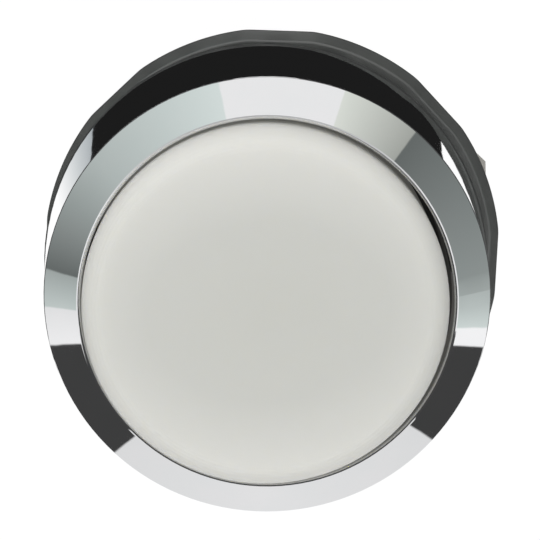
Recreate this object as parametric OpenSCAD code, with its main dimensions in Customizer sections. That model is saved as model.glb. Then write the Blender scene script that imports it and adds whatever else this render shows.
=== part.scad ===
// Arcade push button with a plated bezel, seen on a bench with its nut run up behind the bezel.
// Z runs along the button's axis towards the player, and z = 0 is the face that seats on the panel.

/* [Bezel] */
// Diameter of the plated bezel at its foot
bezel_d = 33.1; // [32:0.1:36]
// Lean of the bezel's side wall from its foot to its top
bezel_flare = 0.95; // [0.3:0.05:1.3]
// Height of the bezel's side wall
bezel_wall_h = 10.9; // [9:0.1:14]
// Thickness of the bezel's side wall at its top
bezel_wall = 1.2; // [1:0.05:1.6]
// Height of the bevel above the side wall
bevel_h = 1.8; // [1:0.1:2.6]
// Thickness of the bezel under its bevel
bezel_roof_t = 1.1; // [0.8:0.05:1.3]
// Radius of the rounded lip round the hole
lip_r = 0.18; // [0.1:0.02:0.3]
// Radius of the rounded edge between the side wall and the bevel
bezel_edge_r = 0.15; // [0.1:0.05:0.3]
// Radius of the bezel's rounded foot edge
bezel_foot_r = 0.2; // [0.1:0.05:0.4]

/* [Barrel] */
// Outside diameter of the barrel's thread
thread_d = 27.8; // [27:0.1:28.2]
// Length of the barrel behind the panel
barrel_len = 28.9; // [26:0.1:32]
// Wall of the barrel, with its thread
barrel_wall = 1.6; // [1.3:0.1:1.8]
// Overhang of the panel flange past the bezel's foot
flange_lip = 0.1; // [0.1:0.1:1.5]
// Thickness of the flange
flange_t = 0.6; // [0.6:0.1:1.5]
// Chamfer of the flange's edge
flange_chamfer = 0.1; // [0.05:0.05:0.2]
// Wall of the collar that carries the bezel
collar_wall = 1.5; // [1.2:0.1:1.6]
// Height of the bead that the bezel snaps over
bead_h = 0.25; // [0.15:0.05:0.35]
// Width of the bead
bead_w = 1.4; // [1:0.1:2]
// Distance of the bead below the collar's top
bead_drop = 2.5; // [2:0.1:4]
// Depth of the spring shelf below the panel
shelf_depth = 10; // [8:0.5:12]
// Thickness of the spring shelf
shelf_t = 2; // [1.6:0.1:3]
// Thickness of each switch leg
leg_t = 1.6; // [1.2:0.1:2]
// Depth that each switch peg reaches into the switch
peg_len = 4; // [2:0.5:4.5]

/* [Plunger] */
// Gap between the cap and the bezel's hole, with the cap in the middle
cap_gap = 0.25; // [0.2:0.05:0.6]
// Height of the cap above the bezel's hole at rest
cap_proud = 2.45; // [2.4:0.05:3.5]
// Height of the cap's skirt, with its top
cap_h = 12; // [10.5:0.5:12.5]
// Radius of the cap's rounded edge
cap_edge_r = 1.7; // [1:0.1:2]
// Rise of the cap's slight dome
cap_dome = 0.35; // [0.2:0.05:0.6]
// Thickness of the cap's top
cap_top_t = 2; // [1.5:0.1:2.4]
// Wall of the cap's skirt
skirt_wall = 1.3; // [1:0.1:1.4]
// Travel of the plunger
travel = 2.4; // [1.8:0.1:2.4]
// Gap between the stem and the snap legs beside it
stem_gap = 1.4; // [1:0.1:2]
// Depth of the plunger's stem
stem_t = 4.8; // [4:0.2:5]
// Thickness of the stem's web and end ribs
stem_rib = 1.4; // [1:0.1:1.8]
// Thickness of the stem's foot
foot_t = 1.8; // [1:0.1:3]
// Gap between the snap legs and the spring round them
hook_gap = 0.8; // [0.6:0.1:1.2]
// Thickness of the snap legs
hook_t = 1.4; // [1:0.1:1.6]
// Overlap of each barb under the shelf
barb = 1; // [0.6:0.1:1.4]
// Length of each barb
barb_len = 2.5; // [1.5:0.1:3]
// Flat at the barb's widest place, and at its nose
barb_flat = 0.4; // [0.3:0.1:0.6]

/* [Return spring] */
// Wire of the return spring
spring_wire = 0.8; // [0.6:0.05:0.85]
// Turns of the return spring
spring_turns = 9; // [6:1:12]

/* [Mounting nut] */
// Wall of the nut round its bore
nut_wall = 3.15; // [2.5:0.05:4.5]
// Depth of each of the nut's eight flats
nut_flat_cut = 0.22; // [0.1:0.02:0.5]
// Turn of the flats from the line of the switch, clockwise in degrees
nut_turn = 4.4; // [0:0.2:45]
// Draft of the nut's side towards its rear edge
nut_draft = 0.45; // [0.1:0.05:0.6]
// Length of the nut
nut_h = 4.2; // [3:0.1:6]
// Height of the nut's front chamfer
nut_chamfer_h = 0.8; // [0.5:0.1:1.4]
// Width of the nut's front chamfer
nut_chamfer_w = 0.75; // [0.3:0.05:1]
// Chamfer of the nut's rear edge
nut_rear_chamfer = 0.4; // [0.3:0.1:1]
// Radial play of the nut on the thread
nut_play = 0.6; // [0.2:0.1:0.8]
// Distance of the nut behind the panel's seat
nut_standoff = 2.1; // [2.1:0.1:12]

/* [Switch] */
// Length of the switch case
case_l = 27.8; // [27:0.1:28.6]
// Thickness of the switch case with its cover
case_w = 10.3; // [9.8:0.1:10.8]
// Height of the switch case
case_h = 15.9; // [15.7:0.1:17]
// Wall of the switch case
case_wall = 1.3; // [1.1:0.1:1.4]
// Radius of the case's corners
case_corner_r = 0.8; // [0.4:0.1:1.2]
// Diameter of the switch's mounting holes
hole_d = 3.1; // [2.9:0.1:3.3]
// Distance of each mounting hole from the case's two nearest sides
hole_inset = 2.8; // [2.6:0.05:2.9]
// Wall of the bosses round the mounting holes
boss_wall = 0.85; // [0.6:0.05:0.95]
// Diameter of the switch's button
button_d = 2.8; // [2.4:0.1:3]
// Height of the switch's button above the case at rest
button_proud = 2.6; // [2.5:0.1:3]
// Radius of the button's rounded top
button_round = 0.6; // [0.3:0.1:1]
// Distance of the switch's button from the case's common end
button_inset = 9.9; // [9.7:0.1:10.4]
// Travel of the switch's button
button_travel = 2; // [1.6:0.1:2]

/* [Terminals] */
// Width of the terminals
blade_w = 4.8; // [4:0.1:5]
// Thickness of the terminals
blade_t = 0.8; // [0.5:0.1:0.9]
// Length of the terminals outside the case
blade_l = 6.7; // [5.5:0.1:7.5]
// Chamfer of the terminals' tips
blade_tip = 1; // [0.5:0.1:1.5]
// Diameter of the hole in each terminal
blade_hole_d = 1.3; // [1:0.1:2]
// Distance of that hole from the tip
blade_hole_inset = 2.6; // [2:0.1:3.5]
// Gap between the common terminal and the boss beside it
common_gap = 1.1; // [0.5:0.1:1.3]
// Distance of the normally open terminal from the contacts
open_offset = 4; // [3:0.1:4.5]
// Depth of the common terminal's arm below the spring's anchor
arm_drop = 2.4; // [2:0.1:2.5]

/* [Switch contacts] */
// Diameter of the contacts
contact_d = 2.6; // [2:0.1:3]
// Thickness of each contact
contact_t = 0.5; // [0.4:0.05:0.55]
// Travel of the moving contact
contact_travel = 1; // [0.8:0.05:1.1]
// Distance of the contacts from the case's other end
contact_inset = 4.3; // [4:0.1:4.7]
// Margin of the terminals round the contacts
contact_margin = 0.3; // [0.2:0.05:0.5]
// Diameter of the contacts' rivets
rivet_d = 1.3; // [1:0.1:1.4]
// Thickness of the moving blade
leaf_t = 0.3; // [0.2:0.05:0.35]
// Width of the moving blade's two rails
rail_w = 0.7; // [0.5:0.05:0.9]
// Distance of the blade's solid end from the contacts
plate_reach = 3.6; // [3.2:0.1:4]
// Distance of the blade's spring tab from the contacts
tab_reach = 3.4; // [3.2:0.1:3.6]
// Width of the spring tab
tab_w = 0.6; // [0.5:0.05:0.7]
// Half the length of the button's fork
fork_half = 1.4; // [1.2:0.1:1.6]
// Wire of the tension spring
toggle_wire = 0.25; // [0.2:0.01:0.3]
// Diameter of the tension spring over its wire
toggle_d = 1.6; // [1.4:0.05:1.7]
// Radius of the tension spring's end loops
toggle_loop_r = 0.9; // [0.8:0.05:1]
// Turns of the tension spring
toggle_turns = 12; // [8:1:16]
// Distance of the tension spring's anchor from the end wall
anchor_inset = 2.3; // [2:0.1:2.6]
// Thickness of the anchor's lug
anchor_t = 0.4; // [0.3:0.05:0.5]
// Margin of the lug round the anchor's eye
anchor_margin = 0.45; // [0.3:0.05:0.5]

/* [Clearances] */
// Gap beside pieces that pass each other
pass_gap = 0.3; // [0.2:0.05:0.35]
// Gap at pieces that seat on each other
seat_gap = 0.1; // [0.05:0.01:0.15]
// Gap round the switch's button and pegs
running_gap = 0.1; // [0.05:0.01:0.1]

/* [Hidden] */
$fn = 96;
eps = 0.01;

// Radii, each from the piece round it or under it
bezel_r = bezel_d / 2;
bezel_top_r = bezel_r - bezel_flare;
collar_r = bezel_top_r - bezel_wall;
bezel_hole_r = collar_r - collar_wall;
bevel_inner_r = bezel_hole_r + lip_r;
flange_r = bezel_r + flange_lip;
thread_r = thread_d / 2;
barrel_bore_r = thread_r - barrel_wall;
cap_r = bezel_hole_r - cap_gap;
cap_shift = cap_gap - running_gap;
skirt_inner_r = cap_r - skirt_wall;
spring_r = skirt_inner_r - pass_gap - spring_wire / 2;
hook_reach = spring_r - spring_wire / 2 - hook_gap;
hook_slot_x = hook_reach + pass_gap;
stem_w = 2 * (hook_reach - hook_t - stem_gap);
slot_w = stem_t + 2 * pass_gap;
nut_bore_r = thread_r + nut_play;
nut_r = nut_bore_r + nut_wall;
nut_shift = nut_play - running_gap;

// Heights up the axis
bevel_z = flange_t + bezel_wall_h;
hole_z = bevel_z + bevel_h;
collar_z = bevel_z + bevel_h * (bezel_top_r - collar_r) / (bezel_top_r - bevel_inner_r) - bezel_roof_t;
bead_z = collar_z - bead_drop;
cap_z = hole_z + cap_proud;
cap_under_z = cap_z - cap_dome - cap_top_t;
skirt_z = cap_z - cap_h;
bore_step_z = flange_t + bead_h + seat_gap;
shelf_z = -shelf_depth;
shelf_under_z = shelf_z - shelf_t;
case_z = -barrel_len - seat_gap;
case_under_z = case_z - case_h;
foot_z = case_z + button_proud + travel - button_travel + seat_gap / 2;

// The switch's case, its holes and the legs that hold it
leg_r = thread_r - pass_gap;
leg_in = case_w / 2 + seat_gap;
hole_x = case_l / 2 - hole_inset;
low_hole_z = case_under_z + hole_inset;
high_hole_z = case_z - hole_inset;
boss_r = hole_d / 2 + boss_wall;
cavity_top_z = case_z - case_wall;
cavity_low_z = case_under_z + case_wall;
cover_y = case_w / 2 - case_wall;

// Places inside the switch
button_x = button_inset - case_l / 2;
contact_x = case_l / 2 - contact_inset;
anchor_x = case_wall + anchor_inset - case_l / 2;
common_blade_x = boss_r + common_gap - hole_x;
open_blade_x = contact_x - open_offset;
plate_x = contact_x - plate_reach;
tab_x = contact_x - tab_reach;
contact_stack = contact_travel / 2 + leaf_t / 2 + seat_gap + 2 * contact_t;
mid_z = high_hole_z - boss_r - seat_gap - blade_t - contact_stack;
pivot_z = mid_z + button_travel / 2;
rest_contact_z = mid_z + contact_travel / 2;
closed_blade_z = mid_z + contact_stack;
open_blade_z = mid_z - contact_stack - blade_t;
leaf_tilt = atan((pivot_z - rest_contact_z) / (contact_x - button_x));
toggle_tilt = atan((pivot_z - mid_z - (tab_x - button_x) * tan(leaf_tilt)) / (tab_x - anchor_x));
rail_in = toggle_d / 2 + pass_gap + running_gap;

module rounded_rect(w, h, r) {
    square([w - 2 * r, h], center = true);
    square([w, h - 2 * r], center = true);
    for (x = [-1, 1], y = [-1, 1]) translate([x * (w / 2 - r), y * (h / 2 - r)]) circle(r = r);
}

// Stands a drawing of X and Z up, with its thickness from y0 to y1
module upright(y0, y1) {
    translate([0, y1, 0]) rotate([90, 0, 0]) linear_extrude(height = y1 - y0) children();
}

// Round bar along Y, centred on (x, z)
module cross_bar(x, z, r, l) {
    translate([x, -l / 2, z]) rotate([-90, 0, 0]) cylinder(r = r, h = l);
}

// Points of a fillet about (x, y) from angle a0 to a1
function arc(x, y, r, a0, a1, n = 8) =
    [for (i = [0:n]) [x + r * cos(a0 + (a1 - a0) * i / n), y + r * sin(a0 + (a1 - a0) * i / n)]];

// Section of the bead at radius r, drawn upwards where way is 1 and downwards where it is -1
function bead(r, way) = [[r, bead_z - way * bead_w / 2], [r + bead_h, bead_z - way * (bead_w / 2 - bead_h)],
    [r + bead_h, bead_z + way * (bead_w / 2 - bead_h)], [r, bead_z + way * bead_w / 2]];

function unit(v) = v / norm(v);
function heading(path, i) = unit(path[min(i + 1, len(path) - 1)] - path[max(i - 1, 0)]);
function square_to(u, t) = unit(u - (u * t) * t);

// A wire of n sides swept along points; its rings keep their turn from one point to the next
module wire(path, r, n) {
    count = len(path);
    sides = [for (i = 0, u = square_to([0.1, 0.2, 1], heading(path, 0)); i < count; i = i + 1,
        u = square_to(u, heading(path, min(i, count - 1)))) u];
    points = [for (i = [0:count - 1]) let (u = sides[i], v = cross(heading(path, i), u))
        for (k = [0:n - 1]) path[i] + r * (cos(360 * k / n) * u + sin(360 * k / n) * v)];
    polyhedron(points = points, faces = concat(
        [[for (k = [0:n - 1]) k]],
        [[for (k = [n - 1:-1:0]) (count - 1) * n + k]],
        [for (i = [0:count - 2]) for (k = [0:n - 1])
            [i * n + k, (i + 1) * n + k, (i + 1) * n + (k + 1) % n, i * n + (k + 1) % n]]), convexity = 10);
}

module bezel() {
    slope = atan(bevel_h / (bezel_top_r - bevel_inner_r));
    lean = atan(bezel_flare / bezel_wall_h);
    edge = bezel_edge_r * [cos(lean) + sin(slope), sin(lean) + cos(slope)] / (1 + sin(lean + slope));
    inner_r = collar_r + seat_gap / 2;
    color("silver") rotate_extrude() polygon(concat(
        [[inner_r, flange_t]],
        arc(bezel_r - bezel_foot_r, flange_t + bezel_foot_r, bezel_foot_r, -90, 4, 4),
        arc(bezel_top_r - edge[0], bevel_z - edge[1], bezel_edge_r, lean, 90 - slope, 4),
        arc(bevel_inner_r, hole_z - lip_r, lip_r, 90 - slope, 180, 4),
        [[bezel_hole_r, collar_z + seat_gap], [inner_r, collar_z + seat_gap]],
        bead(inner_r, -1)));
}

module barrel_turned() {
    edge = flange_chamfer;
    rotate_extrude() polygon(concat(
        [[barrel_bore_r, -barrel_len], [thread_r - pass_gap, -barrel_len], [thread_r, -barrel_len + pass_gap],
            [thread_r, 0], [flange_r - edge, 0], [flange_r, edge], [flange_r, flange_t - 2 * edge],
            [flange_r - 2 * edge, flange_t], [collar_r, flange_t]],
        bead(collar_r, 1),
        [[collar_r, collar_z], [bezel_hole_r, collar_z], [bezel_hole_r, bore_step_z],
            [barrel_bore_r, bore_step_z - bezel_hole_r + barrel_bore_r]]));
}

module switch_leg(side) {
    intersection() {
        translate([-thread_r, side > 0 ? leg_in : -leg_in - leg_t, low_hole_z - boss_r])
            cube([2 * thread_r, leg_t, shelf_z - eps - low_hole_z + boss_r - shelf_t / 2]);
        translate([0, 0, case_under_z]) cylinder(r = leg_r, h = shelf_z - case_under_z);
    }
}

module barrel() {
    peg_r = hole_d / 2 - running_gap;
    color("#26282a") {
        difference() {
            union() {
                barrel_turned();
                translate([0, 0, shelf_under_z]) cylinder(r = barrel_bore_r + eps, h = shelf_t);
                switch_leg(-1);
                switch_leg(1);
            }
            translate([-hook_slot_x, -slot_w / 2, shelf_under_z - eps])
                cube([2 * hook_slot_x, slot_w, shelf_t + 2 * eps]);
        }
        translate([hole_x, -leg_in - eps, high_hole_z]) rotate([-90, 0, 0])
            cylinder(r = peg_r, h = peg_len + seat_gap);
        translate([-hole_x, leg_in + eps, low_hole_z]) rotate([90, 0, 0])
            cylinder(r = peg_r, h = peg_len + seat_gap);
    }
}

module plunger_cap() {
    inner_fillet = skirt_wall / 2;
    foot_edge = skirt_wall / 6;
    dome_r = (pow(cap_r - cap_edge_r, 2) + cap_dome * cap_dome) / (2 * cap_dome);
    rim = asin((cap_r - cap_edge_r) / dome_r);
    rotate_extrude() polygon(concat(
        [[0, cap_under_z], [skirt_inner_r - inner_fillet, cap_under_z],
            [skirt_inner_r, cap_under_z - inner_fillet], [skirt_inner_r, skirt_z],
            [cap_r - foot_edge, skirt_z], [cap_r, skirt_z + foot_edge]],
        arc(cap_r - cap_edge_r, cap_z - cap_dome - cap_edge_r, cap_edge_r, 0, 90 - rim, 10),
        [for (i = [6:-1:0]) [dome_r * sin(rim * i / 7), cap_z - dome_r + dome_r * cos(rim * i / 7)]]));
}

module snap_leg() {
    barb_z = shelf_under_z - pass_gap;
    upright(-stem_t / 2, stem_t / 2) polygon([
        [hook_reach - hook_t, cap_under_z + eps], [hook_reach, cap_under_z + eps], [hook_reach, barb_z],
        [hook_slot_x + barb, barb_z], [hook_slot_x + barb, barb_z - barb_flat],
        [hook_reach - barb_flat, barb_z - barb_len], [hook_reach - hook_t, barb_z - barb_len]]);
}

module plunger() {
    stem_h = cap_under_z - foot_z + eps;
    color("#e9e8e3") translate([-cap_shift, 0, 0]) {
        plunger_cap();
        translate([-stem_w / 2, -stem_rib / 2, foot_z]) cube([stem_w, stem_rib, stem_h]);
        for (x = [-stem_w / 2, stem_w / 2 - stem_rib])
            translate([x, -stem_t / 2, foot_z]) cube([stem_rib, stem_t, stem_h]);
        translate([-stem_w / 2, -stem_t / 2, foot_z]) cube([stem_w, stem_t, foot_t]);
        snap_leg();
        mirror([1, 0, 0]) snap_leg();
    }
}

module return_spring() {
    low = shelf_z + spring_wire / 2 + seat_gap / 2;
    high = cap_under_z - spring_wire / 2 - seat_gap / 2;
    steps = 24;
    lead = 1;
    rise = function (u) u < lead ? spring_wire * u
        : u > spring_turns - lead ? high - low - spring_wire * (spring_turns - u)
        : spring_wire * lead + (high - low - 2 * spring_wire * lead) * (u - lead) / (spring_turns - 2 * lead);
    color("#b9bcbf") translate([-cap_shift, 0, 0]) wire([for (i = [0:spring_turns * steps]) let (u = i / steps)
        [spring_r * cos(360 * u), spring_r * sin(360 * u), low + rise(u)]], spring_wire / 2, 8);
}

module mounting_nut() {
    rear = nut_rear_chamfer;
    rear_r = nut_r - nut_draft;
    color("#2b2e2c") translate([nut_shift, 0, -nut_standoff - nut_h]) difference() {
        intersection() {
            rotate_extrude() polygon([
                [0, 0], [rear_r - rear, 0], [rear_r, rear], [nut_r, nut_h - nut_chamfer_h],
                [nut_r - nut_chamfer_w, nut_h], [0, nut_h]]);
            rotate([0, 0, 22.5 - nut_turn]) cylinder(r1 = (rear_r - nut_flat_cut) / cos(22.5),
                r2 = (nut_r - nut_flat_cut) / cos(22.5), h = nut_h, $fn = 8);
        }
        translate([0, 0, -eps]) cylinder(r = nut_bore_r, h = nut_h + 2 * eps);
    }
}

module case_outline() {
    translate([0, (case_z + case_under_z) / 2]) rounded_rect(case_l, case_h, case_corner_r);
}

module mounting_bores() {
    cross_bar(hole_x, high_hole_z, hole_d / 2, case_w + 2 * eps);
    cross_bar(-hole_x, low_hole_z, hole_d / 2, case_w + 2 * eps);
}

module switch_case() {
    slot = blade_t + seat_gap;
    slot_y = blade_w + seat_gap;
    color("#1d1e20") difference() {
        union() {
            difference() {
                upright(-case_w / 2, cover_y) case_outline();
                translate([-case_l / 2 + case_wall, -case_w / 2 + case_wall, cavity_low_z])
                    cube([case_l - 2 * case_wall, case_w, cavity_top_z - cavity_low_z]);
            }
            for (p = [[hole_x, high_hole_z], [-hole_x, low_hole_z]])
                translate([p[0], -case_w / 2 + eps, p[1]]) rotate([-90, 0, 0])
                    cylinder(r = boss_r, h = case_w - case_wall - eps);
        }
        mounting_bores();
        translate([button_x, 0, cavity_top_z - eps])
            cylinder(r = button_d / 2 + running_gap, h = case_wall + 2 * eps);
        translate([case_l / 2 - case_wall - 2 * eps, -slot_y / 2, closed_blade_z - seat_gap / 2])
            cube([case_wall + 4 * eps, slot_y, slot]);
        for (x = [open_blade_x, common_blade_x])
            translate([x - seat_gap / 2, -slot_y / 2, case_under_z - eps])
                cube([slot, slot_y, case_wall + 2 * eps]);
    }
}

module switch_cover() {
    color("#232426") difference() {
        upright(cover_y, case_w / 2) case_outline();
        mounting_bores();
    }
}

module switch_button() {
    rest_top = case_z + button_proud;
    shoulder_z = cavity_top_z - 2 * seat_gap;
    stalk = rest_top - shoulder_z;
    fork_low = pivot_z - toggle_loop_r - running_gap;
    leg_y = rail_in + rail_w + running_gap;
    notch_h = leaf_t + 4 * running_gap;
    notch_in = leaf_t / 2 + 2 * running_gap;
    color("#c0392b") difference() {
        union() {
            translate([button_x, 0, shoulder_z - eps]) rotate_extrude() polygon(concat(
                [[0, 0], [button_d / 2, 0]],
                arc(button_d / 2 - button_round, stalk - button_round, button_round, 0, 90, 6),
                [[0, stalk]]));
            translate([button_x - fork_half, -leg_y, fork_low])
                cube([2 * fork_half, 2 * leg_y, shoulder_z - fork_low]);
        }
        translate([button_x - fork_half - eps, -rail_in, fork_low - eps])
            cube([2 * (fork_half + eps), 2 * rail_in, pivot_z - fork_low + button_travel]);
        translate([button_x - notch_in, -leg_y - eps, pivot_z - notch_h / 2])
            cube([fork_half + notch_in + eps, 2 * (leg_y + eps), notch_h]);
    }
}

// Flat end of a terminal, drawn from x = 0 to its tip
module blade_outline(l) {
    difference() {
        polygon([[0, -blade_w / 2], [l - blade_tip, -blade_w / 2], [l, -blade_w / 2 + blade_tip],
            [l, blade_w / 2 - blade_tip], [l - blade_tip, blade_w / 2], [0, blade_w / 2]]);
        translate([l - blade_hole_inset, 0]) circle(r = blade_hole_d / 2);
    }
}

module down_terminal(x, z) {
    translate([x, 0, z]) rotate([0, 90, 0])
        linear_extrude(height = blade_t) blade_outline(z - case_under_z + blade_l);
}

module common_terminal() {
    eye_r = toggle_wire / 2 + running_gap;
    lug_r = eye_r + anchor_margin;
    arm_z = mid_z - arm_drop;
    color("#c9a85c") {
        down_terminal(common_blade_x, arm_z + blade_t);
        translate([anchor_x - lug_r, -blade_w / 2, arm_z])
            cube([common_blade_x - anchor_x + lug_r + eps, blade_w, blade_t]);
        difference() {
            union() {
                cross_bar(anchor_x, mid_z, lug_r, anchor_t);
                translate([anchor_x - lug_r, -anchor_t / 2, arm_z + blade_t - eps])
                    cube([2 * lug_r, anchor_t, mid_z - arm_z - blade_t + eps]);
            }
            cross_bar(anchor_x, mid_z, eye_r, anchor_t + 2 * eps);
        }
    }
}

module normally_open_terminal() {
    color("#c9a85c") {
        down_terminal(open_blade_x, open_blade_z + blade_t);
        translate([open_blade_x + blade_t - eps, -blade_w / 2, open_blade_z])
            cube([contact_x + contact_d / 2 + contact_margin - open_blade_x - blade_t, blade_w, blade_t]);
    }
}

module normally_closed_terminal() {
    inner_x = contact_x - contact_d / 2 - contact_margin;
    color("#c9a85c") translate([inner_x, 0, closed_blade_z])
        linear_extrude(height = blade_t) blade_outline(case_l / 2 + blade_l - inner_x);
}

module fixed_contact(z) {
    color("#d8d8d4") translate([contact_x, 0, z]) cylinder(r = contact_d / 2, h = contact_t);
}

module normally_open_contact() { fixed_contact(open_blade_z + blade_t); }

module normally_closed_contact() { fixed_contact(closed_blade_z - contact_t); }

// Draws in the moving blade's own frame, whose origin is the pivot in the button's fork
module on_blade() {
    translate([button_x, 0, pivot_z]) rotate([0, leaf_tilt, 0]) children();
}

module moving_blade() {
    reach = contact_x - button_x;
    plate = plate_x - button_x;
    tab = tab_x - button_x;
    tongue_z = -toggle_d / 2;
    tongue_end = tab + toggle_loop_r + tab_w;
    color("#b87333") on_blade() {
        difference() {
            union() {
                for (y = [-rail_in - rail_w, rail_in]) translate([0, y, 0]) {
                    translate([0, 0, -leaf_t / 2]) cube([plate, rail_w, leaf_t]);
                    rotate([-90, 0, 0]) cylinder(r = leaf_t / 2, h = rail_w);
                }
                translate([plate, -rail_in - rail_w, -leaf_t / 2])
                    cube([reach - plate + contact_d / 2 - running_gap, 2 * (rail_in + rail_w), leaf_t]);
            }
            translate([plate - eps, -rail_in, -leaf_t])
                cube([tab - plate + toggle_loop_r + leaf_t, 2 * rail_in, 2 * leaf_t]);
            translate([reach, 0, -leaf_t]) cylinder(r = rivet_d / 2 + eps, h = 2 * leaf_t);
        }
        translate([tab - tab_w / 2, -tab_w / 2, tongue_z]) cube([tab_w, tab_w, -tongue_z + tab_w]);
        translate([tab - tab_w / 2, -tab_w / 2, tongue_z]) cube([tongue_end - tab + tab_w / 2, tab_w, leaf_t]);
        translate([tongue_end - leaf_t, -tab_w / 2, tongue_z]) cube([leaf_t, tab_w, -tongue_z]);
    }
}

module moving_contact() {
    head_r = contact_d / 2 - running_gap;
    color("#d8d8d4") translate([contact_x, 0, rest_contact_z]) rotate([0, leaf_tilt, 0]) {
        translate([0, 0, leaf_t / 2]) cylinder(r = head_r, h = contact_t);
        translate([0, 0, -leaf_t / 2 - contact_t]) cylinder(r = head_r, h = contact_t);
        translate([0, 0, -leaf_t / 2 - eps]) cylinder(r = rivet_d / 2, h = leaf_t + 2 * eps);
    }
}

// Its first loop passes through the common terminal's eye, and its far loop is round the blade's tab
module tension_spring() {
    length = (tab_x - anchor_x) / cos(toggle_tilt);
    loop = toggle_loop_r;
    coil_r = (toggle_d - toggle_wire) / 2;
    steps = 12;
    first = 3 * loop;
    last = length - 2 * loop;
    color("#b9bcbf") translate([anchor_x, 0, mid_z]) rotate([0, -toggle_tilt, 0]) wire(concat(
        [for (a = [40:20:320]) [loop + loop * cos(a), loop * sin(a), 0]],
        [for (i = [0:toggle_turns * steps]) let (a = 360 * i / steps)
            [first + (last - first) * i / (toggle_turns * steps), -coil_r * cos(a), coil_r * sin(a)]],
        [for (a = [220:20:500]) [length + loop * cos(a), loop * sin(a), 0]]),
        toggle_wire / 2, 6);
}

bezel();
barrel();
plunger();
return_spring();
mounting_nut();
switch_case();
switch_cover();
switch_button();
common_terminal();
normally_open_terminal();
normally_closed_terminal();
normally_open_contact();
normally_closed_contact();
moving_blade();
moving_contact();
tension_spring();
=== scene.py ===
"""A screw-in arcade push button: its finish, thread, spring and studio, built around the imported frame.

Lengths are in metres, in the row frame: Z runs along the button's axis towards the player.
"""

import math

import bpy
from mathutils import Matrix, Vector


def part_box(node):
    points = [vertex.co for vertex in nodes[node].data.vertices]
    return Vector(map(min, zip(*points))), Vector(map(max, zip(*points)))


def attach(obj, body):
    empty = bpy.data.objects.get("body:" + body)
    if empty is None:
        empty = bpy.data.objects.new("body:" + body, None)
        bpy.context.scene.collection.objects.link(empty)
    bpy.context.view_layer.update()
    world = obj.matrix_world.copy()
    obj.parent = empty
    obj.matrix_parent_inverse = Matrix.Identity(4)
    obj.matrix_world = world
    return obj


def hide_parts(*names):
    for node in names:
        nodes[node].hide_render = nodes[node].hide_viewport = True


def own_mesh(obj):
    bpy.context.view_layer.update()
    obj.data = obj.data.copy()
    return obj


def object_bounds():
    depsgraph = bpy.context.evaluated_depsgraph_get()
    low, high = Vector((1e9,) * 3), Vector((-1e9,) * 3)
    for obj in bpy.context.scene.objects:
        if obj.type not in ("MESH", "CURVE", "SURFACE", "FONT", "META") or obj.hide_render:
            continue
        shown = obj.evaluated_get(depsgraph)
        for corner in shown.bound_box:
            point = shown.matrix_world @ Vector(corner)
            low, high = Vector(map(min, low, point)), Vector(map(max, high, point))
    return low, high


MM = 0.001

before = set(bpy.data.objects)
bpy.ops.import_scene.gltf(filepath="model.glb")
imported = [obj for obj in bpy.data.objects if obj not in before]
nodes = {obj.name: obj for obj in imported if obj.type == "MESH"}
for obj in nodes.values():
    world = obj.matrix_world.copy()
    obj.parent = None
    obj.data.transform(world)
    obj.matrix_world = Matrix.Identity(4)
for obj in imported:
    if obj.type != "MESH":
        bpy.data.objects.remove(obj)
cad_low, cad_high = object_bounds()


# Places taken from the frame

bezel_top_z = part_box("bezel")[1].z
nut_low, nut_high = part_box("mounting_nut")
nut_x = (nut_low.x + nut_high.x) / 2
floor_z = cad_low.z - 0.2 * MM


# Camera

LENS_MM = 133.33
SENSOR_MM = 36.0
CAMERA_PLACE = Vector((-1.354, 31.711, 0)) * MM
CAMERA_HEIGHT = 134.08 * MM
CAMERA_RIGHT = Vector((0.9999, 0, 0.0112))
CAMERA_AIM = Vector((0.011, -0.213, -0.977))
# The camera and its studio stand turned about the button's axis, which sets how far round the switch points.
STUDIO_TURN = Matrix.Rotation(math.radians(-2.4), 4, "Z")


def make_camera():
    """The photograph's view, almost straight down the button's axis, from a little above it."""
    data = bpy.data.cameras.new("photo_camera")
    data.lens = LENS_MM
    data.sensor_width = SENSOR_MM
    camera = bpy.data.objects.new("photo_camera", data)
    bpy.context.scene.collection.objects.link(camera)
    back = -CAMERA_AIM.normalized()
    up = back.cross(CAMERA_RIGHT).normalized()
    right = up.cross(back)
    tilt = Matrix((right, up, back)).transposed().to_4x4()
    place = Vector((CAMERA_PLACE.x, CAMERA_PLACE.y, bezel_top_z + CAMERA_HEIGHT))
    camera.matrix_world = STUDIO_TURN @ Matrix.Translation(place) @ tilt
    bpy.context.scene.camera = camera


# Material helpers

def new_material(name, colour, roughness, metallic=0.0, specular=0.5, ior=1.5):
    """A material with its Principled shader's own sockets set."""
    material = bpy.data.materials.new(name)
    material.use_nodes = True
    shader = material.node_tree.nodes["Principled BSDF"]
    shader.inputs["Base Color"].default_value = (*colour, 1)
    shader.inputs["Roughness"].default_value = roughness
    shader.inputs["Metallic"].default_value = metallic
    shader.inputs["Specular IOR Level"].default_value = specular
    shader.inputs["IOR"].default_value = ior
    return material, shader


def noise(tree, scale, detail):
    """A noise in object space, so it stays on the piece from any side."""
    place = tree.nodes.new("ShaderNodeTexCoord")
    texture = tree.nodes.new("ShaderNodeTexNoise")
    texture.inputs["Scale"].default_value = scale
    texture.inputs["Detail"].default_value = detail
    tree.links.new(place.outputs["Object"], texture.inputs["Vector"])
    return texture.outputs["Fac"]


def ramp(tree, value, stops):
    """A colour ramp of (place, colour) stops."""
    node = tree.nodes.new("ShaderNodeValToRGB")
    elements = node.color_ramp.elements
    while len(elements) < len(stops):
        elements.new(0.5)
    for element, (place, colour) in zip(elements, stops):
        element.position = place
        element.color = (*colour, 1)
    tree.links.new(value, node.inputs["Fac"])
    return node.outputs["Color"]


NOISE_LOW, NOISE_HIGH = 0.35, 0.65


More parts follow.
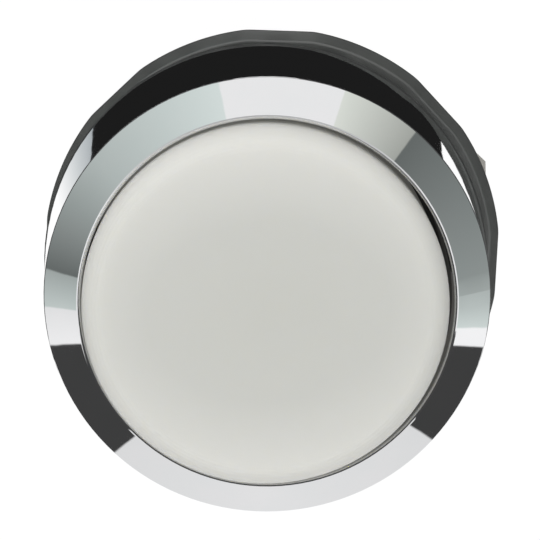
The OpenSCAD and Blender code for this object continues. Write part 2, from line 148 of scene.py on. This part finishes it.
def spread(tree, value, low, high):
    """Maps a noise's middle range onto low to high."""
    node = tree.nodes.new("ShaderNodeMapRange")
    node.inputs["From Min"].default_value = NOISE_LOW
    node.inputs["From Max"].default_value = NOISE_HIGH
    node.inputs["To Min"].default_value = low
    node.inputs["To Max"].default_value = high
    tree.links.new(value, node.inputs["Value"])
    return node.outputs["Result"]


def bump(tree, shader, height, depth):
    """Relief of the given depth in metres."""
    node = tree.nodes.new("ShaderNodeBump")
    node.inputs["Distance"].default_value = depth
    tree.links.new(height, node.inputs["Height"])
    tree.links.new(node.outputs["Normal"], shader.inputs["Normal"])


def mottled(name, light, dark, scale, rough, metallic=0.0, relief=None, **extra):
    """A finish whose colour and roughness vary softly, with an optional relief of (depth, noise scale)."""
    material, shader = new_material(name, light, rough[0], metallic, **extra)
    tree = material.node_tree
    cloud = noise(tree, scale, 3)
    tree.links.new(ramp(tree, cloud, [(NOISE_LOW, dark), (NOISE_HIGH, light)]), shader.inputs["Base Color"])
    tree.links.new(spread(tree, cloud, *rough), shader.inputs["Roughness"])
    if relief:
        depth, relief_scale = relief
        bump(tree, shader, noise(tree, relief_scale, 4), depth)
    return material


# Materials

# Painted shading: the cap is darker in the middle and lighter towards its rim, for how the light falls on it.
# The cap's tone by its distance from the axis, up to the reach below, with x and y weighed as below.
CAP_PAINTED_SHADE_TONES = [(0.0, (0.565, 0.57, 0.535)), (0.5, (0.58, 0.585, 0.555)), (0.9, (0.69, 0.69, 0.66)),
             (1.0, (0.70, 0.70, 0.67))]
CAP_PAINTED_SHADE_REACH = 12.5 * MM
CAP_PAINTED_SHADE_WEIGHTS = (0.75, 1, 0)


def plunger_plastic():
    """White, slightly translucent satin plastic, a little brighter towards the cap's rim by painted shading,
    with a faint painted glow.
    """
    material, shader = new_material("white_plunger_plastic", (0.62, 0.62, 0.59), 0.42, specular=0.35)
    shader.inputs["Subsurface Weight"].default_value = 0.6
    shader.inputs["Subsurface Radius"].default_value = (1.0, 0.95, 0.8)
    shader.inputs["Subsurface Scale"].default_value = 2.0 * MM
    # Painted light: a faint glow over the whole plunger, which is no lamp.
    shader.inputs["Emission Color"].default_value = (0.80, 0.79, 0.74, 1)
    shader.inputs["Emission Strength"].default_value = 0.07
    tree = material.node_tree
    place = tree.nodes.new("ShaderNodeTexCoord")
    flat = tree.nodes.new("ShaderNodeVectorMath")
    flat.operation = "MULTIPLY"
    flat.inputs[1].default_value = CAP_PAINTED_SHADE_WEIGHTS
    length = tree.nodes.new("ShaderNodeVectorMath")
    length.operation = "LENGTH"
    reach = tree.nodes.new("ShaderNodeMapRange")
    reach.inputs["From Max"].default_value = CAP_PAINTED_SHADE_REACH
    tree.links.new(place.outputs["Object"], flat.inputs[0])
    tree.links.new(flat.outputs["Vector"], length.inputs[0])
    tree.links.new(length.outputs["Value"], reach.inputs["Value"])
    # Painted shading: this tone ramp lightens the cap towards its rim.
    tree.links.new(ramp(tree, reach.outputs["Result"], CAP_PAINTED_SHADE_TONES), shader.inputs["Base Color"])
    bump(tree, shader, noise(tree, 9000, 2), 0.004 * MM)
    return material


MATERIALS = {
    "chrome": mottled("bright_chrome", (0.93, 0.93, 0.94), (0.91, 0.92, 0.93), 300, (0.02, 0.035), 1.0,
                      relief=(0.00008 * MM, 6000)),
    "barrel": mottled("black_barrel_plastic", (0.040, 0.042, 0.041), (0.030, 0.032, 0.031), 500, (0.30, 0.40),
                      relief=(0.0015 * MM, 9000), specular=0.9, ior=1.65),
    "nut": mottled("black_nut_plastic", (0.064, 0.069, 0.065), (0.050, 0.054, 0.051), 500, (0.30, 0.40),
                   relief=(0.002 * MM, 9000), specular=1.0, ior=1.7),
    "plunger": plunger_plastic(),
    "switch": mottled("switch_plastic", (0.030, 0.030, 0.032), (0.020, 0.020, 0.022), 600, (0.40, 0.52),
                      relief=(0.002 * MM, 8000)),
    "switch_button": mottled("switch_button_plastic", (0.55, 0.52, 0.45), (0.48, 0.45, 0.38), 700,
                             (0.35, 0.45)),
    "spring": mottled("spring_steel", (0.50, 0.50, 0.50), (0.38, 0.38, 0.39), 900, (0.22, 0.34), 1.0),
    "terminal": mottled("terminal_metal", (0.88, 0.86, 0.80), (0.78, 0.76, 0.70), 500, (0.34, 0.46), 0.85),
    "blade": mottled("blade_metal", (0.70, 0.50, 0.32), (0.60, 0.41, 0.25), 600, (0.22, 0.35), 1.0),
    "contact": mottled("contact_metal", (0.86, 0.85, 0.82), (0.76, 0.75, 0.72), 900, (0.18, 0.30), 1.0),
}

FINISH = {
    "bezel": "chrome",
    "barrel": "barrel",
    "plunger": "plunger",
    "return_spring": "spring",
    "mounting_nut": "nut",
    "switch_case": "switch",
    "switch_cover": "switch",
    "switch_button": "switch_button",
    "common_terminal": "terminal",
    "normally_open_terminal": "terminal",
    "normally_closed_terminal": "terminal",
    "normally_open_contact": "contact",
    "normally_closed_contact": "contact",
    "moving_blade": "blade",
    "moving_contact": "contact",
    "tension_spring": "spring",
}


def dress(piece, finish):
    piece.data.materials.clear()
    piece.data.materials.append(MATERIALS[finish])


def add_piece(name, mesh, finish):
    """A piece of the button that stays with the housing and takes the given finish."""
    piece = bpy.data.objects.new(name, mesh)
    bpy.context.scene.collection.objects.link(piece)
    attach(piece, "housing")
    dress(piece, finish)
    return piece


def smooth_mesh(name, vertices, faces):
    mesh = bpy.data.meshes.new(name)
    mesh.from_pydata(vertices, [], faces)
    mesh.shade_smooth()
    return mesh


# Threads

THREAD_PITCH = 2.0 * MM
THREAD_R = 13.9 * MM
THREAD_ROOT_R = 13.35 * MM
THREAD_LOW_Z, THREAD_HIGH_Z = -28.8 * MM, -0.4 * MM
THREAD_RUN_OUT = 0.4 * THREAD_PITCH
TOOTH_FOOT, TOOTH_FLANK = 0.4, 0.3  # shares of the pitch: half a tooth's foot, and one flank
SLEEVE_UNDER = 0.3 * MM
SLEEVE_COLUMNS = 180
SLEEVE_ROWS_PER_TURN = 12
BARREL_END_Z = -28.9 * MM


def tooth(share):
    """Height of a thread at a share of its pitch: flat crest, sloping flanks and flat root."""
    away = abs(share - round(share))
    return min(1.0, max(0.0, (TOOTH_FOOT - away) / TOOTH_FLANK))


def thread_sleeve(name, centre_x, root, crest, back, z0, z1, phase, finish):
    """A sleeve with a helical thread from root to crest on its face, and a plain back inside the wall."""
    rows = round((z1 - z0) / (THREAD_PITCH / SLEEVE_ROWS_PER_TURN))
    vertices = []

    def add_ring(z, radius_at):
        for column in range(SLEEVE_COLUMNS):
            a = 2 * math.pi * column / SLEEVE_COLUMNS
            r = radius_at(column / SLEEVE_COLUMNS)
            vertices.append((centre_x + r * math.cos(a), r * math.sin(a), z))

    for row in range(rows + 1):
        z = z0 + (z1 - z0) * row / rows
        run_out = min(1.0, (z - z0) / THREAD_RUN_OUT, (z1 - z) / THREAD_RUN_OUT)
        add_ring(z, lambda turn: root + (crest - root) * run_out * tooth(z / THREAD_PITCH - turn + phase))
    add_ring(z1, lambda turn: back)
    add_ring(z0, lambda turn: back)
    rings = rows + 3
    faces = []
    for ring in range(rings):
        low, high = ring * SLEEVE_COLUMNS, (ring + 1) % rings * SLEEVE_COLUMNS
        for column in range(SLEEVE_COLUMNS):
            beside = (column + 1) % SLEEVE_COLUMNS
            face = (low + column, low + beside, high + beside, high + column)
            faces.append(face if crest > root else face[::-1])
    return add_piece(name, smooth_mesh(name, vertices, faces), finish)


def make_barrel():
    """The CAD barrel with its threaded cylinder drawn in to the thread's root, and the thread round it."""
    mesh = nodes["barrel"].data.copy()
    side, end = 0.05 * MM, 0.01 * MM
    for vertex in mesh.vertices:
        r = math.hypot(vertex.co.x, vertex.co.y)
        if THREAD_ROOT_R < r < THREAD_R + side and BARREL_END_Z - end < vertex.co.z < end:
            vertex.co.x *= THREAD_ROOT_R / r
            vertex.co.y *= THREAD_ROOT_R / r
    body = add_piece("barrel_body", mesh, "barrel")
    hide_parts("barrel")
    thread = thread_sleeve("barrel_thread", 0, THREAD_ROOT_R, THREAD_R, THREAD_ROOT_R - SLEEVE_UNDER,
                           THREAD_LOW_Z, THREAD_HIGH_Z, 0, "barrel")
    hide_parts("barrel")


# Mounting nut

NUT_R = 17.5 * MM
NUT_FLAT_R = 17.32 * MM
NUT_FLATS = 8
NUT_TURN = math.radians(-4.4)
NUT_CORNER = 0.02 * MM
NUT_DRAFT = 0.45 * MM
NUT_REAR = 0.4 * MM
NUT_CHAMFER_H, NUT_CHAMFER_W = 0.8 * MM, 0.75 * MM
NUT_BORE_R = 14.5 * MM
NUT_THREAD_DEPTH = 0.45 * MM
NUT_THREAD_EDGE = 0.3 * MM
NUT_COLUMNS = 576
NUT_SHARP = math.radians(40)


def nut_reach(angle):
    """The nut's outer radius at an angle: a circle cut by eight shallow flats, with softened corners."""
    pitch = 2 * math.pi / NUT_FLATS
    off = (angle - NUT_TURN + pitch / 2) % pitch - pitch / 2
    across = NUT_FLAT_R / math.cos(off)
    return -NUT_CORNER * math.log(math.exp(-across / NUT_CORNER + NUT_R / NUT_CORNER) + 1) + NUT_R


def make_nut_body():
    """The nut with rounded edges, its side drawn in towards the rear."""
    rear, front = nut_low.z, nut_high.z
    widest = front - NUT_CHAMFER_H
    # From the bore's rear edge round to its front: offset from the outer radius, and height.
    outline = [
        (-NUT_DRAFT - NUT_REAR, rear),
        (-NUT_DRAFT - 0.12 * MM, rear + 0.2 * MM),
        (-NUT_DRAFT, rear + NUT_REAR),
        (-0.05 * MM, widest - 0.25 * MM),
        (-0.02 * MM, widest - 0.08 * MM),
        (-0.05 * MM, widest + 0.05 * MM),
        (-0.13 * MM, widest + 0.15 * MM),
        (0.12 * MM - NUT_CHAMFER_W, front - 0.13 * MM),
        (0.03 * MM - NUT_CHAMFER_W, front - 0.04 * MM),
        (-0.15 * MM - NUT_CHAMFER_W, front),
    ]
    vertices, faces = [], []
    for column in range(NUT_COLUMNS):
        a = 2 * math.pi * column / NUT_COLUMNS
        reach = nut_reach(a)
        ring = [(NUT_BORE_R, rear), *((reach + offset, z) for offset, z in outline), (NUT_BORE_R, front)]
        vertices += [(nut_x + r * math.cos(a), r * math.sin(a), z) for r, z in ring]
    count = len(outline) + 2
    for column in range(NUT_COLUMNS):
        here, beside = column * count, (column + 1) % NUT_COLUMNS * count
        for k in range(count):
            after = (k + 1) % count
            faces.append((here + k, beside + k, beside + after, here + after))
    mesh = smooth_mesh("mounting_nut_body", vertices, faces)
    mesh.set_sharp_from_angle(angle=NUT_SHARP)
    body = add_piece("mounting_nut_body", mesh, "nut")
    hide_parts("mounting_nut")


def make_nut_thread():
    """The nut's own thread, whose crests run between the barrel's."""
    thread_sleeve("mounting_nut_thread", nut_x, NUT_BORE_R, NUT_BORE_R - NUT_THREAD_DEPTH,
                  NUT_BORE_R + SLEEVE_UNDER, nut_low.z + NUT_THREAD_EDGE, nut_high.z - NUT_THREAD_EDGE,
                  0.5, "nut")


# Return spring

SPRING_WIRE_R = 0.4 * MM
SPRING_TURNS = 9
SPRING_END_TURNS = 1
SPRING_EASE = 0.1 * MM  # keeps the round coil off the fillet inside the cap
SPRING_STEPS, SPRING_SIDES = 48, 14


def spring_height(turn, z0, z1):
    """Height of the wire's centre after some turns, the end turns lying close."""
    wire = 2 * SPRING_WIRE_R
    middle_turns = SPRING_TURNS - 2 * SPRING_END_TURNS
    middle_rise = z1 - z0 - 2 * wire * SPRING_END_TURNS
    in_middle = min(max(turn - SPRING_END_TURNS, 0), middle_turns)
    return z0 + middle_rise * in_middle / middle_turns + wire * (turn - in_middle)


def make_return_spring():
    """The return spring in round wire."""
    low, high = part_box("return_spring")
    centre_x = (low.x + high.x) / 2
    coil_r = (high.x - low.x) / 2 - SPRING_WIRE_R - SPRING_EASE
    vertices, faces = [], []
    for step in range(SPRING_TURNS * SPRING_STEPS + 1):
        turn = step / SPRING_STEPS
        z = spring_height(turn, low.z + SPRING_WIRE_R, high.z - SPRING_WIRE_R)
        a = 2 * math.pi * turn
        for side in range(SPRING_SIDES):
            b = 2 * math.pi * side / SPRING_SIDES
            r = coil_r + SPRING_WIRE_R * math.cos(b)
            vertices.append((centre_x + r * math.cos(a), r * math.sin(a), z + SPRING_WIRE_R * math.sin(b)))
    for here in range(0, len(vertices) - SPRING_SIDES, SPRING_SIDES):
        ahead = here + SPRING_SIDES
        for side in range(SPRING_SIDES):
            beside = (side + 1) % SPRING_SIDES
            faces.append((here + side, ahead + side, ahead + beside, here + beside))
    faces.append(tuple(range(SPRING_SIDES)))
    faces.append(tuple(range(len(vertices) - 1, len(vertices) - 1 - SPRING_SIDES, -1)))
    mesh = smooth_mesh("return_spring_wire", vertices, faces)
    spring = add_piece("return_spring_wire", mesh, "spring")
    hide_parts("return_spring")
    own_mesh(spring)


# Studio helpers

PLAIN, COOL, WARM = (1, 1, 1), (0.91, 1, 0.97), (0.965, 1, 0.925)


def shade(level, tint=PLAIN):
    return tuple(level * channel for channel in tint)


def stage_object(name, vertices, faces, material):
    """A studio piece, given in the camera's own frame and turned with it."""
    mesh = bpy.data.meshes.new(name)
    mesh.from_pydata([tuple(STUDIO_TURN @ Vector(v)) for v in vertices], [], faces)
    mesh.materials.append(material)
    piece = bpy.data.objects.new(name, mesh)
    bpy.context.scene.collection.objects.link(piece)
    return piece


def glossy_only(piece):
    """A card that only mirror reflections show, so it lights and shades nothing."""
    piece.visible_camera = False
    piece.visible_diffuse = False
    piece.visible_transmission = False
    piece.visible_shadow = False
    piece.visible_volume_scatter = False


def card_material(name):
    """A card that glows in the colour of its own corners."""
    material = bpy.data.materials.new(name)
    material.use_nodes = True
    tree = material.node_tree
    tree.nodes.clear()
    glow = tree.nodes.new("ShaderNodeEmission")
    out = tree.nodes.new("ShaderNodeOutputMaterial")
    paint = tree.nodes.new("ShaderNodeAttribute")
    paint.attribute_name = "paint"
    tree.links.new(paint.outputs["Color"], glow.inputs["Color"])
    tree.links.new(glow.outputs["Emission"], out.inputs["Surface"])
    return material


def painted_card(name, vertices, faces, paints):
    """A card seen only in reflections, with a colour for each corner."""
    card = stage_object(name, vertices, faces, card_material(name))
    values = [channel for paint in paints for channel in (*paint, 1)]
    card.data.attributes.new("paint", "FLOAT_COLOR", "POINT").data.foreach_set("color", values)
    glossy_only(card)


SECTOR_STEP = 4


def painted_sector(name, z, rings, start, stop):
    """A flat ring sector round the axis, whose rings are (radius, brightness)."""
    columns = round((stop - start) / SECTOR_STEP)
    vertices, faces, paints = [], [], []
    for i in range(columns + 1):
        a = math.radians(start + (stop - start) * i / columns)
        vertices += [(radius * math.cos(a), radius * math.sin(a), z) for radius, _ in rings]
        paints += [shade(level) for _, level in rings]
    count = len(rings)
    for i in range(columns):
        for k in range(count - 1):
            here, beside = i * count + k, (i + 1) * count + k
            faces.append((here, here + 1, beside + 1, beside))
    painted_card(name, vertices, faces, paints)


def seen_directly(tree):
    """1 for camera, glossy and transmission rays."""
    path = tree.nodes.new("ShaderNodeLightPath")
    total = path.outputs["Is Camera Ray"]
    for kind in ("Is Glossy Ray", "Is Transmission Ray"):
        add = tree.nodes.new("ShaderNodeMath")
        add.operation = "MAXIMUM"
        tree.links.new(total, add.inputs[0])
        tree.links.new(path.outputs[kind], add.inputs[1])
        total = add.outputs["Value"]
    return total


# World and floor

AMBIENT_FROM = (-0.3, -0.5, 0.8)
AMBIENT_DARK, AMBIENT_BRIGHT = 0.20, 0.50
BACKDROP = (0.8, 0.8, 0.8, 1)
FLOOR_HALF = 1.2
FLOOR_COLOUR = (0.8, 0.8, 0.8, 1)
FLOOR_GLOW, FLOOR_GLOW_SHARE = 1.08, 0.88


def make_world():
    """Pale to the eye and to mirrors, and as a light a soft grey, brightest from the front and lower left."""
    world = bpy.data.worlds.new("studio_world")
    bpy.context.scene.world = world
    world.use_nodes = True
    tree = world.node_tree
    tree.nodes.clear()
    place = tree.nodes.new("ShaderNodeTexCoord")
    towards = tree.nodes.new("ShaderNodeVectorMath")
    towards.operation = "DOT_PRODUCT"
    towards.inputs[1].default_value = (STUDIO_TURN @ Vector(AMBIENT_FROM)).normalized()
    tree.links.new(place.outputs["Generated"], towards.inputs[0])
    level = tree.nodes.new("ShaderNodeMapRange")
    level.inputs["From Min"].default_value = -1
    level.inputs["To Min"].default_value = AMBIENT_DARK
    level.inputs["To Max"].default_value = AMBIENT_BRIGHT
    tree.links.new(towards.outputs["Value"], level.inputs["Value"])
    ambient = tree.nodes.new("ShaderNodeBackground")
    ambient.inputs["Color"].default_value = (1, 1, 0.99, 1)
    tree.links.new(level.outputs["Result"], ambient.inputs["Strength"])
    backdrop = tree.nodes.new("ShaderNodeBackground")
    backdrop.inputs["Color"].default_value = BACKDROP
    mix = tree.nodes.new("ShaderNodeMixShader")
    out = tree.nodes.new("ShaderNodeOutputWorld")
    tree.links.new(seen_directly(tree), mix.inputs["Fac"])
    tree.links.new(ambient.outputs["Background"], mix.inputs[1])
    tree.links.new(backdrop.outputs["Background"], mix.inputs[2])
    tree.links.new(mix.outputs["Shader"], out.inputs["Surface"])


def floor_material():
    """Pale floor that shows white and keeps a faint shadow."""
    material = bpy.data.materials.new("pale_floor")
    material.use_nodes = True
    tree = material.node_tree
    tree.nodes.clear()
    diffuse = tree.nodes.new("ShaderNodeBsdfDiffuse")
    diffuse.inputs["Color"].default_value = FLOOR_COLOUR
    glow = tree.nodes.new("ShaderNodeEmission")
    glow.inputs["Strength"].default_value = FLOOR_GLOW
    share = tree.nodes.new("ShaderNodeMath")
    share.operation = "MULTIPLY"
    share.inputs[1].default_value = FLOOR_GLOW_SHARE
    mix = tree.nodes.new("ShaderNodeMixShader")
    out = tree.nodes.new("ShaderNodeOutputMaterial")
    tree.links.new(seen_directly(tree), share.inputs[0])
    tree.links.new(share.outputs["Value"], mix.inputs["Fac"])
    tree.links.new(diffuse.outputs["BSDF"], mix.inputs[1])
    tree.links.new(glow.outputs["Emission"], mix.inputs[2])
    tree.links.new(mix.outputs["Shader"], out.inputs["Surface"])
    return material


def make_floor():
    half = FLOOR_HALF
    corners = [(-half, -half, floor_z), (half, -half, floor_z), (half, half, floor_z), (-half, half, floor_z)]
    stage_object("floor", corners, [(0, 1, 2, 3)], floor_material())


# Cards that the chrome mirrors

# The wall of cards round the button, with 0 at the right of the view and 90 at its top: each card's azimuth
# from and to in degrees, its brightness at either end, and its tint.
STUDIO_CARDS = [
    # Bench, right of the front
    (-90, -50, 0.80, 0.75, PLAIN),
    # Right flag, kicker and the kicker's spill
    (-50, -25, 0.05, 0.05, PLAIN),
    (-25, -20, 0.95, 0.95, PLAIN),
    (-20, -5, 0.70, 0.30, COOL),
    # Right wall, dim in front and warmer towards the softbox
    (-5, 40, 0.30, 0.15, COOL),
    (40, 65, 0.40, 0.75, WARM),
    # Softbox
    (65, 105, 0.85, 0.85, PLAIN),
    # Left wall
    (105, 150, 0.75, 0.50, COOL),
    (150, 185, 0.50, 0.15, COOL),
    # Left kicker's spill, kicker and flag
    (185, 195, 0.40, 0.60, COOL),
    (195, 205, 0.80, 0.90, PLAIN),
    (205, 235, 0.05, 0.05, PLAIN),
    # Bench, left of the front
    (235, 270, 0.75, 0.80, PLAIN),
]
CARD_BORDER = 0.5
WALL_RADIUS = 0.6
WALL_LOW, WALL_HIGH = -0.02, 0.75
WALL_BLEND = 0.005
COLUMN_STEP = 3
# The dark skirting, from one kicker to the other: its top's elevation in degrees is highest at azimuth 90.
SKIRTING_LEVEL = 0.03
SKIRTING_FROM, SKIRTING_TO = -22, 203
SKIRTING_RISE, SKIRTING_TILT, SKIRTING_LOWEST = 7.5, 11, 1
UPPER_Z, UPPER_LEVEL, UPPER_BLEND = 0.52, 0.85, 0.01

CEILING_RINGS = [(0, 0.06), (0.34, 0.06), (0.46, 0.45), (0.65, 0.85)]

# Cards just above the floor, each a little higher than the one it covers. Corners are in millimetres.
FLAG_LIFT, FALL_LIFT, DIM_LIFT = 0.1 * MM, 0.07 * MM, 0.05 * MM
FLAG_CORNERS = [(-60, -4), (-24, 12.4), (-10, 16), (10, 16), (26, 10), (60, -2), (60, 140), (-60, 140)]
FLAG_LEVEL = 0.012
# The left fall card carries painted shade, seen only in the chrome: dusky next to the flag, then pale, then
# white.
FALL_CORNERS = [(-60, 12), (-14, 14), (-14, 7), (-60, 5), (-60, -3), (-14, -1)]
FALL_FACES = [(0, 3, 2, 1), (3, 4, 5, 2)]
DUSK, PALE, WHITE = shade(0.34, (0.88, 0.98, 1.05)), shade(0.62, (0.95, 1, 1.02)), shade(1.0)
DIM_RINGS = [(36 * MM, 0.9), (37 * MM, 0.10), (620 * MM, 0.07)]


def wall_columns():
    """The azimuth and colour of every column of the wall, with a narrow border between two cards."""
    for start, end, first, last, tint in STUDIO_CARDS:
        steps = max(1, round((end - start) / COLUMN_STEP))
        for step in range(steps + 1):
            share = step / steps
            yield start + (end - start - CARD_BORDER) * share, shade(first + (last - first) * share, tint)


def make_studio_wall():
    """One round wall of cards, pale above and with a dark skirting behind and beside the button."""
    upper = shade(UPPER_LEVEL)
    vertices, faces, paints = [], [], []
    columns = list(wall_columns())
    for azimuth, card in columns:
        a = math.radians(azimuth)
        low = shade(SKIRTING_LEVEL) if SKIRTING_FROM < azimuth < SKIRTING_TO else card
        rise = math.radians(max(SKIRTING_LOWEST, SKIRTING_RISE + SKIRTING_TILT * math.sin(a)))
        top_z = bezel_top_z + WALL_RADIUS * math.tan(rise)
        column = [(WALL_LOW, low), (top_z, low), (top_z + WALL_BLEND, card), (UPPER_Z, card),
                  (UPPER_Z + UPPER_BLEND, upper), (WALL_HIGH, upper)]
        vertices += [(WALL_RADIUS * math.cos(a), WALL_RADIUS * math.sin(a), z) for z, _ in column]
        paints += [paint for _, paint in column]
    rows = len(column)
    for i in range(len(columns)):
        following = (i + 1) % len(columns)
        for k in range(rows - 1):
            here, beside = rows * i + k, rows * following + k
            faces.append((here, beside, beside + 1, here + 1))
    painted_card("studio_wall", vertices, faces, paints)


def make_ceiling():
    """A pale ceiling with the dark opening that the camera looks through."""
    painted_sector("ceiling", WALL_HIGH, CEILING_RINGS, 0, 360)


def floor_card(name, corners, lift, faces, paints):
    painted_card(name, [(x * MM, y * MM, floor_z + lift) for x, y in corners], faces, paints)


def make_floor_cards():
    """The bench as the chrome sees it: black behind the button, and dim further off but for a strip."""
    count = len(FLAG_CORNERS)
    floor_card("floor_flag", FLAG_CORNERS, FLAG_LIFT, [tuple(range(count))], [shade(FLAG_LEVEL)] * count)
    for name, start, stop in (("floor_dim_right", -32, 80), ("floor_dim_left", 100, 212)):
        painted_sector(name, floor_z + DIM_LIFT, DIM_RINGS, start, stop)
    # Painted shade on the bench beside the flag, seen only in reflections.
    floor_card("floor_left_fall", FALL_CORNERS, FALL_LIFT, FALL_FACES, [DUSK, DUSK, PALE, PALE, WHITE, WHITE])


# Lights

def area_light(name, place, size, power):
    """A round light aimed at the middle of the bezel's seat, unseen by mirrors."""
    data = bpy.data.lights.new(name, "AREA")
    data.shape = "DISK"
    data.size = size
    data.energy = power
    light = bpy.data.objects.new(name, data)
    aim = (-Vector(place)).to_track_quat("-Z", "Y").to_matrix().to_4x4()
    light.matrix_world = STUDIO_TURN @ Matrix.Translation(place) @ aim
    light.visible_glossy = False
    bpy.context.scene.collection.objects.link(light)


def make_lights():
    area_light("soft_key", (0.03, -0.05, 0.50), 0.35, 0.98)
    area_light("soft_fill", (-0.16, 0.37, 0.30), 0.4, 0.9)


bpy.context.scene.view_settings.view_transform = "Standard"
make_camera()
make_world()
make_floor()
make_studio_wall()
make_ceiling()
make_floor_cards()
make_lights()
for name, finish in FINISH.items():
    dress(nodes[name], finish)
make_barrel()
make_nut_body()
make_nut_thread()
make_return_spring()
